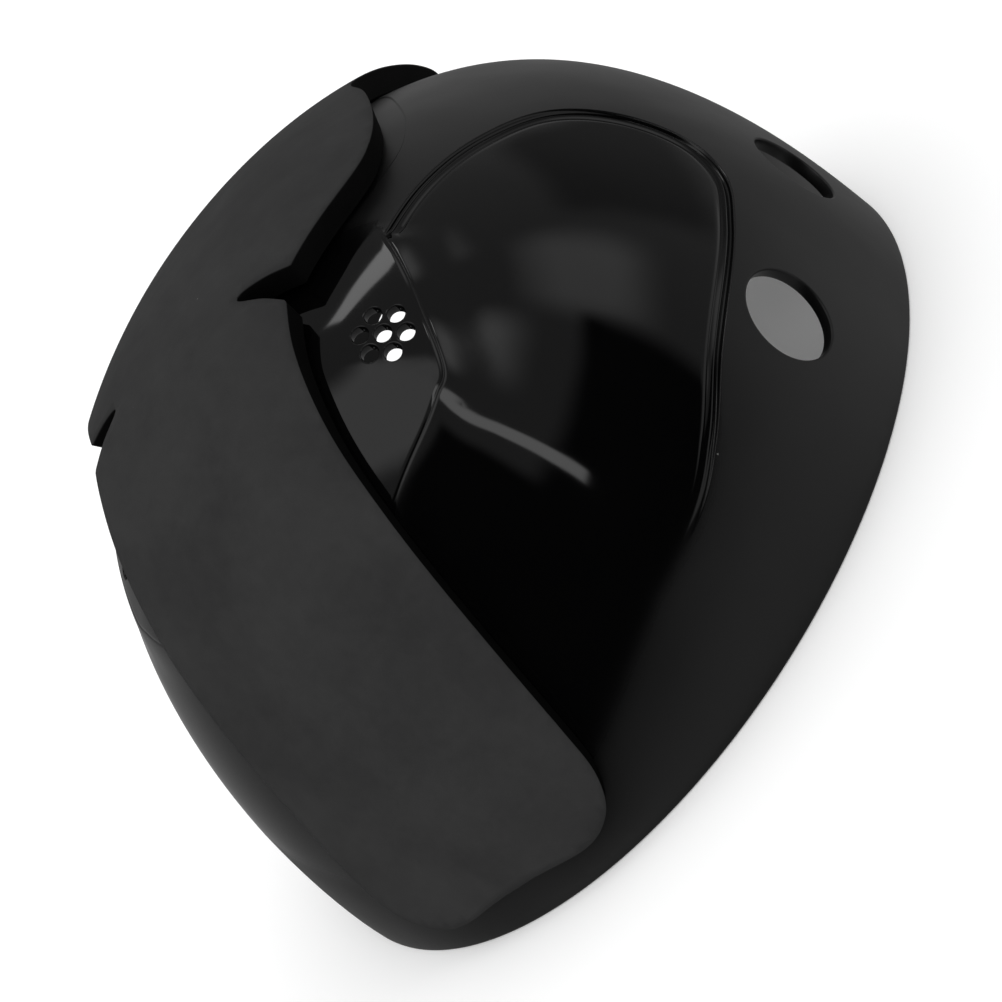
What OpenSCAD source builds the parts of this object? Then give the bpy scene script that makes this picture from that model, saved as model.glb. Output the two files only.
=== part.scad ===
// Bump cap insert: the hard shell that is worn inside a baseball cap, with a foam
// pad glued over its front and crown and five cushion pads glued inside.
//
// Frame: +Z up, the rim rests on Z = 0, the wearer looks along -Y and the wearer's
// left is +X. The origin is the middle of the rim oval.
//
// Places on the dome are given by two angles. "turn" goes round the plan, 0 at the
// wearer's left and -90 at the forehead. "drop" goes from 0 at the crown to 90 at the
// rim. The pads use the same two angles as a flat chart: across = drop * cos(turn) and
// along = drop * sin(turn), both in degrees.

/* [Shell] */
// Half of the width over the rim
half_width = 82; // [72:1:92]
// Half of the length over the rim
half_length = 100; // [88:1:112]
// Height of the crown over the rim
crown_height = 100.5; // [88:0.5:112]
// How far the crown lies ahead of the middle of the rim
crown_lead = 12.5; // [0:0.5:20]
// Thickness of the moulded wall
wall = 2.6; // [1.8:0.1:3.4]

/* [Profile] */
// Fullness of the sides, 2 is an ellipse and more is squarer
side_power = 2.23; // [2:0.01:2.6]
// Fullness of the forehead
front_power = 1.32; // [1.2:0.01:2]
// Fullness of the back of the head
rear_power = 3.04; // [2:0.01:3.4]

/* [Rim holes] */
// Diameter of the six round holes above the rim
rim_hole_d = 18.5; // [12:0.5:20]
// Where the three holes of one side lie round the plan
rim_hole_turns = [-12.5, 18, 58]; // [-20:0.5:60]
// How far down the same holes lie
rim_hole_drops = [74.5, 75, 71]; // [68:0.5:76]

/* [Vents] */
// Diameter of one vent
vent_d = 3.2; // [2:0.1:3.4]
// Distance between neighbouring vents
vent_pitch = 4.1; // [3.8:0.1:5]
// Turn of the middle of a vent cluster
vent_turn = -40.5; // [-44:0.5:-38]
// Drop of the middle of a vent cluster
vent_drop = 36; // [34:0.5:38]

/* [Pads] */
// Thickness of the outer foam pad
outer_foam = 5; // [3:0.5:6]
// How far the outer pad lifts off the shell beside its notches
edge_lift = 0.8; // [0:0.1:2.5]
// Thickness of the cushion pads inside
inner_foam = 4; // [3:0.5:6]
// Thickness of the double-sided adhesive films
film = 0.2; // [0.15:0.05:0.3]

/* [Hidden] */
$fn = 48;

// Steps of the shell's grid, round the plan and from crown to rim
turn_steps = 60;
drop_steps = 20;
// Air between a glued piece and the film, so that the solids don't touch
air = 0.05;
// A cutter passes this far through each side of the wall
overcut = 6;

// Outline of the outer pad, rear to front: along, half of the width across, in degrees.
// It starts with a narrow tail over the back of the crown.
// The two rows that step in at about -15 are the notch that lets the flat foam bend.
outer_outline = [
    [53.4, 3], [52.8, 5.5], [51.5, 7.8], [49.5, 9.6], [47, 10.8], [44, 11.6], [40, 12.2],
    [36, 12.8], [32, 13.3], [28, 14], [25, 15], [22.4, 16.6], [19.5, 18.8], [16, 21.6],
    [12, 23.9], [7, 26], [2, 27.1], [-3, 26.3], [-8, 24.2], [-12, 21.4], [-14.9, 19.2],
    [-15.2, 12.4], [-15.9, 12.2], [-18, 17.4], [-18.9, 18.5], [-22, 18.4], [-26, 18.5],
    [-31, 19], [-37, 19.9], [-44, 21.4], [-51, 23], [-58, 24.2], [-65, 25.2], [-71, 26.2],
    [-75.5, 26.4], [-78.5, 25.4], [-81, 23.4], [-83.2, 20], [-84.6, 16], [-85.3, 11],
];
// Size of an adhesive film as a share of its pad
film_share = 0.82;
// Where along the pad it lifts most, and how far the lift spreads, in degrees
lift_middle = -10;
lift_spread = 22;
// Where the pressed front end of the pad starts, and how much of the thickness it loses
press_start = -66;
pressed_share = 0.9;
// The rounded patches follow this power of a superellipse, and stop just short of its ends
patch_power = 4;
patch_reach = 0.97;

// Profile power at one place of the dome; it eases to the side power at the crown, so
// that the crown is round.
function power_at(turn, drop) =
    side_power + ((sin(turn) < 0 ? front_power : rear_power) - side_power)
    * pow(sin(turn), 2) * pow(sin(drop), 2);

// One point of the dome's outer surface, or of the surface that lies "grow" outside it
function dome(turn, drop, grow = 0) =
    let (p = power_at(turn, drop))
    let (q = pow(pow(sin(drop), p) + pow(abs(cos(drop)), p), -1 / p))
    let (reach = sin(drop) * q)
    let (rise = abs(cos(drop)) * q)
    [
        (half_width + grow) * cos(turn) * reach,
        (half_length + grow) * sin(turn) * reach - crown_lead * rise,
        (crown_height + grow) * rise,
    ];

// The same by chart angles
function dome_chart(across, along, grow = 0) =
    dome(atan2(along, across), norm([across, along]), grow);

// Outward normal of the dome at one place
function unit(v) = v / norm(v);
function dome_normal(turn, drop) =
    unit(cross(
        dome(turn, drop + 0.5) - dome(turn, drop - 0.5),
        dome(turn + 0.5, drop) - dome(turn - 0.5, drop)
    ));

// Children are placed at a spot on the dome, their Z along the outward normal
module on_dome(turn, drop, level_rows = false) {
    n = dome_normal(turn, drop);
    lean = acos(n.z);
    heading = atan2(n.y, n.x);
    // The spin that makes the children's X run level across the cap
    spin = level_rows ? atan2(-sin(heading) * cos(lean), cos(heading)) : 0;
    translate(dome(turn, drop))
        rotate([0, lean, heading])
            rotate(spin)
                children();
}

// Both sides of the head
module both_sides() {
    children();
    mirror([1, 0, 0]) children();
}

// Two triangles for the cell between points a, b (one row) and c, d (the next row)
function cell(a, b, c, d) = [[a, b, c], [b, d, c]];
function flipped(triangles) = [for (t = triangles) [t[2], t[1], t[0]]];
function flat(lists) = [for (l = lists) each l];

// The hollow dome as one closed solid: outer skin, inner skin and the flat rim
module dome_wall() {
    turn_step = 360 / turn_steps;
    drop_step = 90 / drop_steps;
    skin = function (grow) [
        dome(0, 0, grow),
        for (i = [1:drop_steps], j = [0:turn_steps - 1]) dome(j * turn_step, i * drop_step, grow)
    ];
    per_skin = 1 + drop_steps * turn_steps;
    at = function (base, i, j) base + 1 + (i - 1) * turn_steps + (j % turn_steps);
    skin_faces = function (base) flat([
        [for (j = [0:turn_steps - 1]) [base, at(base, 1, j + 1), at(base, 1, j)]],
        for (i = [1:drop_steps - 1], j = [0:turn_steps - 1])
            cell(at(base, i, j), at(base, i, j + 1), at(base, i + 1, j), at(base, i + 1, j + 1))
    ]);
    rim_faces = flat([
        for (j = [0:turn_steps - 1])
            cell(
                at(0, drop_steps, j), at(0, drop_steps, j + 1),
                at(per_skin, drop_steps, j), at(per_skin, drop_steps, j + 1)
            )
    ]);
    polyhedron(
        points = concat(skin(0), skin(-wall)),
        faces = concat(skin_faces(0), flipped(skin_faces(per_skin)), rim_faces)
    );
}

// A sheet that follows the dome. Each row is [along, half width across]. The functions
// low(u, along) and high(u, along) give its two surfaces, u being -1 to 1 across.
module sheet_on_dome(rows, low, high, middle = 0, columns = 12) {
    last = len(rows) - 1;
    side = function (grow) [
        for (row = rows, j = [0:columns])
            let (u = 2 * j / columns - 1)
                dome_chart(middle + u * row[1], row[0], grow(u, row[0]))
    ];
    per_side = len(rows) * (columns + 1);
    at = function (base, i, j) base + i * (columns + 1) + j;
    side_faces = function (base) flat([
        for (i = [0:last - 1], j = [0:columns - 1])
            cell(at(base, i, j), at(base, i, j + 1), at(base, i + 1, j), at(base, i + 1, j + 1))
    ]);
    end_faces = function (i) flat([
        for (j = [0:columns - 1])
            cell(at(0, i, j), at(0, i, j + 1), at(per_side, i, j), at(per_side, i, j + 1))
    ]);
    edge_faces = function (j) flat([
        for (i = [0:last - 1])
            cell(at(0, i, j), at(0, i + 1, j), at(per_side, i, j), at(per_side, i + 1, j))
    ]);
    polyhedron(
        points = concat(side(low), side(high)),
        faces = concat(
            flipped(side_faces(0)), side_faces(per_side),
            end_faces(0), flipped(end_faces(last)),
            flipped(edge_faces(0)), edge_faces(columns)
        )
    );
}
function level(grow) = function (u, along) grow;

// Rows of a rounded patch: half_along and half_across are its half sizes in degrees
function patch_rows(along, half_along, half_across, steps = 10) = [
    for (i = [steps:-1:-steps])
        let (t = patch_reach * i / steps)
            [along + half_along * t, half_across * pow(1 - pow(abs(t), patch_power), 1 / patch_power)]
];
function shrunk(rows, share) =
    let (centre = (rows[0][0] + rows[len(rows) - 1][0]) / 2)
    [for (row = rows) [centre + share * (row[0] - centre), share * row[1]]];

// Seven vents, one in the middle and six round it
module vent_cluster() {
    on_dome(vent_turn, vent_drop, level_rows = true) {
        cylinder(h = 2 * overcut, d = vent_d, center = true);
        for (k = [0:5])
            rotate(60 * k)
                translate([vent_pitch, 0, 0])
                    cylinder(h = 2 * overcut, d = vent_d, center = true);
    }
}

module rim_holes() {
    for (k = [0:len(rim_hole_turns) - 1])
        on_dome(rim_hole_turns[k], rim_hole_drops[k])
            cylinder(h = 2 * overcut, d = rim_hole_d, center = true);
}

module shell() {
    color([0.03, 0.03, 0.035])
        difference() {
            dome_wall();
            both_sides() vent_cluster();
            both_sides() rim_holes();
        }
}

// The flat foam lifts where the head shape curves both ways: at its sides, beside the notch
function outer_low(u, along) =
    film + 2 * air + edge_lift * pow(abs(u), 3) * exp(-pow((along - lift_middle) / lift_spread, 2));
// Its front end is pressed thin
function outer_high(u, along) =
    outer_low(u, along) + outer_foam
    * (1 - pressed_share * pow(max(0, press_start - along) / (press_start + 90), 2));

module outer_pad() {
    color([0.13, 0.13, 0.14])
        sheet_on_dome(
            outer_outline,
            function (u, along) outer_low(u, along),
            function (u, along) outer_high(u, along),
            columns = 16
        );
}

module outer_film() {
    color([0.75, 0.74, 0.7])
        sheet_on_dome(outer_film_rows, level(air), level(air + film), columns = 8);
}

// Cushion pads and their films lie against the inside of the wall
module inner_pad(rows, middle = 0) {
    top = -wall - film - 2 * air;
    color([0.16, 0.16, 0.17])
        sheet_on_dome(rows, level(top - inner_foam), level(top), middle);
}

module inner_film(rows, middle = 0) {
    top = -wall - air;
    color([0.75, 0.74, 0.7])
        sheet_on_dome(shrunk(rows, film_share), level(top - film), level(top), middle, columns = 8);
}

// Patches: middle along, half size along and half size across, in degrees
outer_film_rows = patch_rows(-44, 34, 15);
forehead_rows = patch_rows(-64, 11, 30);
crown_rows = patch_rows(4, 20, 17);
nape_rows = patch_rows(60, 11, 20);
side_rows = patch_rows(6, 17, 12);
// Middle of a side pad, in degrees across
side_middle = 48;

module forehead_pad() { inner_pad(forehead_rows); }
module forehead_film() { inner_film(forehead_rows); }
module crown_pad() { inner_pad(crown_rows); }
module crown_film() { inner_film(crown_rows); }
module nape_pad() { inner_pad(nape_rows); }
module nape_film() { inner_film(nape_rows); }
module left_pad() { inner_pad(side_rows, side_middle); }
module left_film() { inner_film(side_rows, side_middle); }
module right_pad() { inner_pad(side_rows, -side_middle); }
module right_film() { inner_film(side_rows, -side_middle); }

shell();
outer_pad();
outer_film();
forehead_pad();
forehead_film();
crown_pad();
crown_film();
nape_pad();
nape_film();
left_pad();
left_film();
right_pad();
right_film();
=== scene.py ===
"""Bump cap insert: a moulded hard shell with an outer foam pad and five cushion pads.

Every piece that lies on the dome is first laid out flat, in a chart of two angles, and a
Geometry Nodes tree then bends it onto the dome. A chart point is (across, along, grow):
across and along are degrees from the crown, and grow is metres outside the shell's skin.
"""

import logging
import math
from collections.abc import Sequence
from dataclasses import dataclass, field
from enum import Enum

import bpy
import numpy as np
from mathutils import Matrix, Vector, kdtree
from mathutils.geometry import delaunay_2d_cdt


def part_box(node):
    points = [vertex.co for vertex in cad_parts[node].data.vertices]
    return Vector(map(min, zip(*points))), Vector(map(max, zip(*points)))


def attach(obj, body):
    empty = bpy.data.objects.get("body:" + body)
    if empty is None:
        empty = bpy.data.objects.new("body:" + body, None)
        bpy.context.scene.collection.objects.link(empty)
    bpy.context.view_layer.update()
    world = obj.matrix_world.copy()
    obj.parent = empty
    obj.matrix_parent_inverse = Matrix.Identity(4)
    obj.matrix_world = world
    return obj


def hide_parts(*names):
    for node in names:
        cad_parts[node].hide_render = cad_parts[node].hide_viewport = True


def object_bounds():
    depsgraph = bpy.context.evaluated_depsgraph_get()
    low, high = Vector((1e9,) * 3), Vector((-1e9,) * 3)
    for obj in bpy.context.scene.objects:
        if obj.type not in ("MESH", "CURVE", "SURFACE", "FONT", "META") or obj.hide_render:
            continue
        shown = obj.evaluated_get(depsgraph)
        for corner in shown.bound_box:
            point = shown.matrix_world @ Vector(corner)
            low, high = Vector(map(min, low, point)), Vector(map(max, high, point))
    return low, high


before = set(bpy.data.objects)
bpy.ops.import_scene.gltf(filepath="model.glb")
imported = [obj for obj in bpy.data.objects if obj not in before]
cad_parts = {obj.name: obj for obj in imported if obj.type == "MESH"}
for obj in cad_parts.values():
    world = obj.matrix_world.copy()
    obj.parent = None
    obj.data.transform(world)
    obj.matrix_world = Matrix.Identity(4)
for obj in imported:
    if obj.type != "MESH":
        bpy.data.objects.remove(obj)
CAD_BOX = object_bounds()
LOG = logging.getLogger("bump_cap_insert")

MM = 0.001
BODY = "root"
GLOSS_ZONE = "gloss_zone"
# The foam pads' attribute for the painted shade on their side walls
WALL_SHADE = "painted_wall_shade"
WALL = 2.6 * MM
# Degrees of the chart to one millimetre of the dome, near enough for a small edge
DEGREES_PER_MM = 0.68
# Rounds of Newton's method that place a ring, and of the simpler search for a level ring
RING_ROUNDS = 12
LEVEL_ROUNDS = 6


class Side(Enum):
    """Which side of the head something is on. The wearer's left is +X."""

    LEFT = 1
    RIGHT = -1


class SheetStock(Enum):
    """What stock the flat pieces are taken from."""

    OUTER = "outer_foam"
    INNER = "inner_foam"
    FILM = "adhesive_film"


# ---------------------------------------------------------------- curves in the chart


def smoothstep(low: float, high: float, value: np.ndarray) -> np.ndarray:
    """Eases from 0 at low to 1 at high.

    Args:
        low: Where the step starts.
        high: Where the step ends. It may be below low, and the step then falls.
        value: The values to ease.

    Returns:
        An array of the same shape, from 0 to 1.
    """
    t = np.clip((np.asarray(value, float) - low) / (high - low), 0.0, 1.0)
    return t * t * (3.0 - 2.0 * t)


def curve_through(points: Sequence[tuple[float, float]], per_span: int = 16) -> np.ndarray:
    """Draws a smooth open curve through points.

    Args:
        points: The chart points that the curve goes through.
        per_span: Samples between two neighbouring points.

    Returns:
        The samples, the last point included.
    """
    p = np.array(points, float)
    padded = np.vstack([2 * p[0] - p[1], p, 2 * p[-1] - p[-2]])
    samples = []
    for i in range(len(p) - 1):
        a, b, c, d = padded[i:i + 4]
        for t in np.arange(per_span) / per_span:
            samples.append(
                0.5 * (2 * b + (c - a) * t + (2 * a - 5 * b + 4 * c - d) * t**2
                       + (3 * b - a - 3 * c + d) * t**3)
            )
    return np.array(samples + [p[-1]])


def respaced(curve: np.ndarray, spacing: float, closed: bool = True) -> np.ndarray:
    """Spreads points evenly along a curve.

    Args:
        curve: The points of the curve, in order.
        spacing: The wanted distance between neighbours.
        closed: Whether the last point joins the first.

    Returns:
        The evenly spread points, without a doubled end point on a closed curve.
    """
    line = np.vstack([curve, curve[:1]]) if closed else curve
    length = np.concatenate([[0.0], np.cumsum(np.linalg.norm(np.diff(line, axis=0), axis=1))])
    count = max(8, round(length[-1] / spacing))
    at = np.linspace(0.0, length[-1], count + 1)[: count if closed else count + 1]
    return np.column_stack([np.interp(at, length, line[:, k]) for k in range(2)])


def inward(loop: np.ndarray, distance: float) -> np.ndarray:
    """Offsets a counter-clockwise loop towards its inside.

    Args:
        loop: The closed loop's points.
        distance: How far to move them. A negative distance moves them out.

    Returns:
        The moved points, in the same order.
    """
    tangent = np.roll(loop, -1, axis=0) - np.roll(loop, 1, axis=0)
    tangent /= np.linalg.norm(tangent, axis=1)[:, None]
    return loop + distance * np.column_stack([-tangent[:, 1], tangent[:, 0]])


def is_inside(points: np.ndarray, loop: np.ndarray) -> np.ndarray:
    """Tells which points lie inside a closed loop.

    Args:
        points: Chart points, one a row.
        loop: The loop's points, in order.

    Returns:
        One truth value for each point.
    """
    inside = np.zeros(len(points), bool)
    x, y = points[:, 0], points[:, 1]
    for (x0, y0), (x1, y1) in zip(loop, np.roll(loop, -1, axis=0)):
        if y0 != y1:
            crosses = (y0 > y) != (y1 > y)
            inside ^= crosses & (x < x0 + (y - y0) * (x1 - x0) / (y1 - y0))
    return inside


def distance_to(points: np.ndarray, line: np.ndarray, closed: bool) -> np.ndarray:
    """Measures how far points are from a line.

    Args:
        points: Chart points, one a row.
        line: The line's points, in order.
        closed: Whether the last point joins the first.

    Returns:
        One distance for each point, in degrees.
    """
    ends = np.roll(line, -1, axis=0) if closed else line[1:]
    starts = line if closed else line[:-1]
    best = np.full(len(points), np.inf)
    for a, b in zip(starts, ends):
        along = b - a
        t = np.clip((points - a) @ along / max(along @ along, 1e-12), 0.0, 1.0)
        best = np.minimum(best, np.linalg.norm(points - a - t[:, None] * along, axis=1))
    return best


def depth_inside(points: np.ndarray, loop: np.ndarray) -> np.ndarray:
    """Signed distance to a loop, positive inside it.

    Args:
        points: Chart points, one a row.
        loop: The closed loop's points.

    Returns:
        One signed distance for each point, in degrees.
    """
    return distance_to(points, loop, True) * np.where(is_inside(points, loop), 1.0, -1.0)


def mirrored(loop: np.ndarray) -> np.ndarray:
    """The same counter-clockwise loop on the other side of the head."""
    return (loop * [-1.0, 1.0])[::-1]


# ---------------------------------------------------------------- the dome


@dataclass(frozen=True)
class Dome:
    """The head shape: a superellipse whose power changes from side to front and rear."""

    half_width: float
    half_length: float
    crown_height: float
    crown_lead: float = 12.5 * MM
    side_power: float = 2.23
    front_power: float = 1.32
    rear_power: float = 3.04

    def powers(self, sin_turn: np.ndarray, sin_drop: np.ndarray) -> np.ndarray:
        """Profile power at places of the dome.

        Args:
            sin_turn: Sine of the angle round the plan.
            sin_drop: Sine of the angle down from the crown.

        Returns:
            The power at each place.
        """
        end = np.where(sin_turn < 0, self.front_power, self.rear_power)
        return self.side_power + (end - self.side_power) * sin_turn**2 * sin_drop**2

    def place(self, chart: np.ndarray) -> np.ndarray:
        """Puts chart points onto the dome.

        Args:
            chart: Rows of (across, along, grow).

        Returns:
            Rows of (x, y, z), in metres.
        """
        across, along, grow = chart.T
        drop = np.hypot(across, along)
        safe = np.maximum(drop, 1e-9)
        sin_turn, cos_turn = along / safe, across / safe
        sin_drop, cos_drop = np.sin(np.radians(drop)), np.abs(np.cos(np.radians(drop)))
        power = self.powers(sin_turn, sin_drop)
        scale = (sin_drop**power + cos_drop**power) ** (-1.0 / power)
        reach, rise = sin_drop * scale, cos_drop * scale
        return np.column_stack([
            (self.half_width + grow) * cos_turn * reach,
            (self.half_length + grow) * sin_turn * reach - self.crown_lead * rise,
            (self.crown_height + grow) * rise,
        ])

    def tangents(self, centre: np.ndarray) -> tuple[np.ndarray, np.ndarray]:
        """Directions on the skin at one place.

        Args:
            centre: The place, as (across, along).

        Returns:
            A level unit vector on the skin, and the one square to it that points up.
        """
        step = 0.5
        around = np.array([
            [centre[0] + dx, centre[1] + dy, 0.0]
            for dx, dy in ((step, 0), (-step, 0), (0, step), (0, -step))
        ])
        east, west, north, south = self.place(around)
        normal = np.cross(east - west, north - south)
        normal /= np.linalg.norm(normal)
        level = np.cross([0.0, 0.0, 1.0], normal)
        level /= np.linalg.norm(level)
        return level, np.cross(normal, level)

    def ring(self, centre: np.ndarray, middle: np.ndarray, radius: float,
             grow: float, count: int) -> np.ndarray:
        """Finds the chart points of a true circle drilled square to the skin.

        Args:
            centre: The place that the drill's direction is square to.
            middle: The circle's middle on the tangent plane at centre, in metres.
            radius: The circle's radius, in metres.
            grow: The surface that the circle lies on.
            count: Number of points.

        Returns:
            Rows of (across, along, grow), counter-clockwise seen from outside.
        """
        level, upward = self.tangents(centre)
        origin = self.place(np.array([[*centre, 0.0]]))[0]
        angle = np.arange(count) * 2 * math.pi / count
        wanted = middle + radius * np.column_stack([np.cos(angle), np.sin(angle)])
        axes = np.column_stack([level, upward])

        def miss(points: np.ndarray) -> np.ndarray:
            """How far points are from where they should be, on the tangent plane."""
            rows = np.column_stack([points, np.full(count, grow)])
            return (self.place(rows) - origin) @ axes - wanted

        points = np.tile(np.asarray(centre, float), (count, 1))
        step = 0.01
        for _ in range(RING_ROUNDS):
            error = miss(points)
            slope_a = (miss(points + [step, 0]) - error) / step
            slope_b = (miss(points + [0, step]) - error) / step
            jacobian = np.stack([slope_a, slope_b], axis=2)
            points = points - np.linalg.solve(jacobian, error[:, :, None])[:, :, 0]
        return np.column_stack([points, np.full(count, grow)])

    def level_ring(self, height: float, grow: float, count: int) -> np.ndarray:
        """Chart points that lie at one height, all the way round.

        Args:
            height: The height over the rim, in metres.
            grow: The surface that they lie on.
            count: Number of points.

        Returns:
            Rows of (across, along, grow), counter-clockwise seen from above.
        """
        turn = np.arange(count) * 2 * math.pi / count
        rise = max(height, 0.0) / (self.crown_height + grow)
        drop = np.full(count, math.pi / 2)
        if rise > 0:
            for _ in range(LEVEL_ROUNDS):
                power = self.powers(np.sin(turn), np.sin(drop))
                drop = np.arctan((rise**-power - 1.0) ** (1.0 / power))
        degrees = np.degrees(drop)
        return np.column_stack([
            degrees * np.cos(turn), degrees * np.sin(turn), np.full(count, grow)
        ])


# ---------------------------------------------------------------- flat sheets


def spread(radius: float, spacing: float) -> np.ndarray:
    """Fills a disc round the crown with an even triangular grid.

    Args:
        radius: The disc's radius, in degrees.
        spacing: Distance between neighbours, in degrees.

    Returns:
        The grid's chart points.
    """
    row_height = spacing * math.sqrt(3) / 2
    rows = np.arange(-math.floor(radius / row_height), math.floor(radius / row_height) + 1)
    columns = np.arange(-math.ceil(radius / spacing) - 1, math.ceil(radius / spacing) + 2)
    grid = np.array([
        ((column + 0.5 * (row % 2)) * spacing, row * row_height)
        for row in rows for column in columns
    ])
    return grid[np.hypot(*grid.T) < radius]


def kept_apart(groups: Sequence[tuple[np.ndarray, float]], fixed: np.ndarray) -> np.ndarray:
    """Joins groups of points, leaving out those that are too close to earlier ones.

    Args:
        groups: Each group's points and the distance that they keep.
        fixed: Points that are there already.

    Returns:
        The points that were kept, in order.
    """
    kept = [tuple(p) for p in fixed]
    fixed_count = len(kept)
    for points, gap in groups:
        tree = kdtree.KDTree(len(kept))
        for i, (x, y) in enumerate(kept):
            tree.insert((x, y, 0.0), i)
        tree.balance()
        kept += [tuple(p) for p in points if tree.find((p[0], p[1], 0.0))[2] > gap]
    return np.array(kept[fixed_count:])


class FlatSheet:
    """A mesh in the chart, gathered from rings and filled skins."""

    def __init__(self) -> None:
        """Starts with nothing in it."""
        self.points: list[np.ndarray] = []
        self.values: list[np.ndarray] = []
        self.faces: list[tuple[int, ...]] = []
        self.count = 0

    def add(self, chart: np.ndarray, value: np.ndarray | float = 0.0) -> np.ndarray:
        """Adds points.

        Args:
            chart: Rows of (across, along, grow).
            value: The attribute's value at them.

        Returns:
            The new points' indices.
        """
        self.points.append(chart)
        self.values.append(np.broadcast_to(np.asarray(value, float), len(chart)))
        indices = np.arange(self.count, self.count + len(chart))
        self.count += len(chart)
        return indices

    def strip(self, upper: np.ndarray, lower: np.ndarray) -> None:
        """Joins two rings by a strip that faces away from what the rings go round.

        Args:
            upper: Indices of the ring that is further out, counter-clockwise.
            lower: Indices of the other ring, point for point.
        """
        for a, b, c, d in zip(upper, lower, np.roll(lower, -1), np.roll(upper, -1)):
            self.faces.append((int(a), int(b), int(c), int(d)))

    def bore(self, upper: np.ndarray, lower: np.ndarray) -> None:
        """Joins two rings by a strip that faces the axis they go round, as a hole's wall does."""
        self.strip(lower, upper)

    def skin(self, rings: Sequence[np.ndarray], fill: np.ndarray, faces_out: bool) -> None:
        """Fills the first ring with triangles, round the other rings and through points.

        Args:
            rings: Indices of closed rings, the outermost first and then the holes.
            fill: Indices of the points between them.
            faces_out: Whether the skin faces out of the dome.
        """
        flat = np.vstack(self.points)[:, :2]
        order = np.concatenate([*rings, fill]).astype(int)
        edges, start = [], 0
        for ring in rings:
            edges += [(start + i, start + (i + 1) % len(ring)) for i in range(len(ring))]
            start += len(ring)
        _, _, triangles, origins, _, _ = delaunay_2d_cdt(
            [Vector(p) for p in flat[order]], edges, [], 0, 1e-7, True
        )
        if any(len(origin) != 1 for origin in origins):
            raise ValueError("two edges of the flat sheet cross, or two points meet")
        triangles = order[np.array(origins)[:, 0][np.array(triangles)]]
        middles = flat[triangles].mean(axis=1)
        keep = is_inside(middles, flat[rings[0]])
        for ring in rings[1:]:
            keep &= ~is_inside(middles, flat[ring])
        a, b, c = (flat[triangles[:, k]] for k in range(3))
        turns_left = (b[:, 0] - a[:, 0]) * (c[:, 1] - a[:, 1]) > (
            (b[:, 1] - a[:, 1]) * (c[:, 0] - a[:, 0])
        )
        for triangle, left in zip(triangles[keep], turns_left[keep]):
            corners = triangle if left == faces_out else triangle[::-1]
            self.faces.append(tuple(int(i) for i in corners))

    def build(self, name: str, attribute: str) -> bpy.types.Object:
        """Makes a Blender object of the sheet.

        Args:
            name: The object's name.
            attribute: The name that the points' values get.

        Returns:
            The object, still flat.
        """
        mesh = bpy.data.meshes.new(name)
        mesh.from_pydata(np.vstack(self.points).tolist(), [], self.faces)
        layer = mesh.attributes.new(attribute, "FLOAT", "POINT")
        layer.data.foreach_set("value", np.concatenate(self.values).astype(np.float32))
        mesh.polygons.foreach_set("use_smooth", [True] * len(mesh.polygons))
        piece = bpy.data.objects.new(name, mesh)
        bpy.context.scene.collection.objects.link(piece)
        return piece


# ---------------------------------------------------------------- Geometry Nodes


def feed(tree: bpy.types.NodeTree, socket: bpy.types.NodeSocket, value: object) -> None:
    """Joins an input to another node's output, or sets it to a plain value."""
    if isinstance(value, bpy.types.NodeSocket):
        tree.links.new(value, socket)
    else:
        socket.default_value = value


class NodeMath:
    """Writes sums in a node tree, one Math node for each operation."""

    def __init__(self, tree: bpy.types.NodeTree) -> None:
        """Takes the tree that the nodes go in."""
        self.tree = tree

    def do(self, operation: str, *values: bpy.types.NodeSocket | float) -> bpy.types.NodeSocket:
        """Adds one operation.

        Args:
            operation: The Math node's operation, such as "ADD".
            values: Its inputs, sockets or plain numbers.

        Returns:
            The node's output.
        """
        node = self.tree.nodes.new("ShaderNodeMath")
        node.operation = operation
        for socket, value in zip(node.inputs, values):
            feed(self.tree, socket, value)
        return node.outputs[0]


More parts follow.
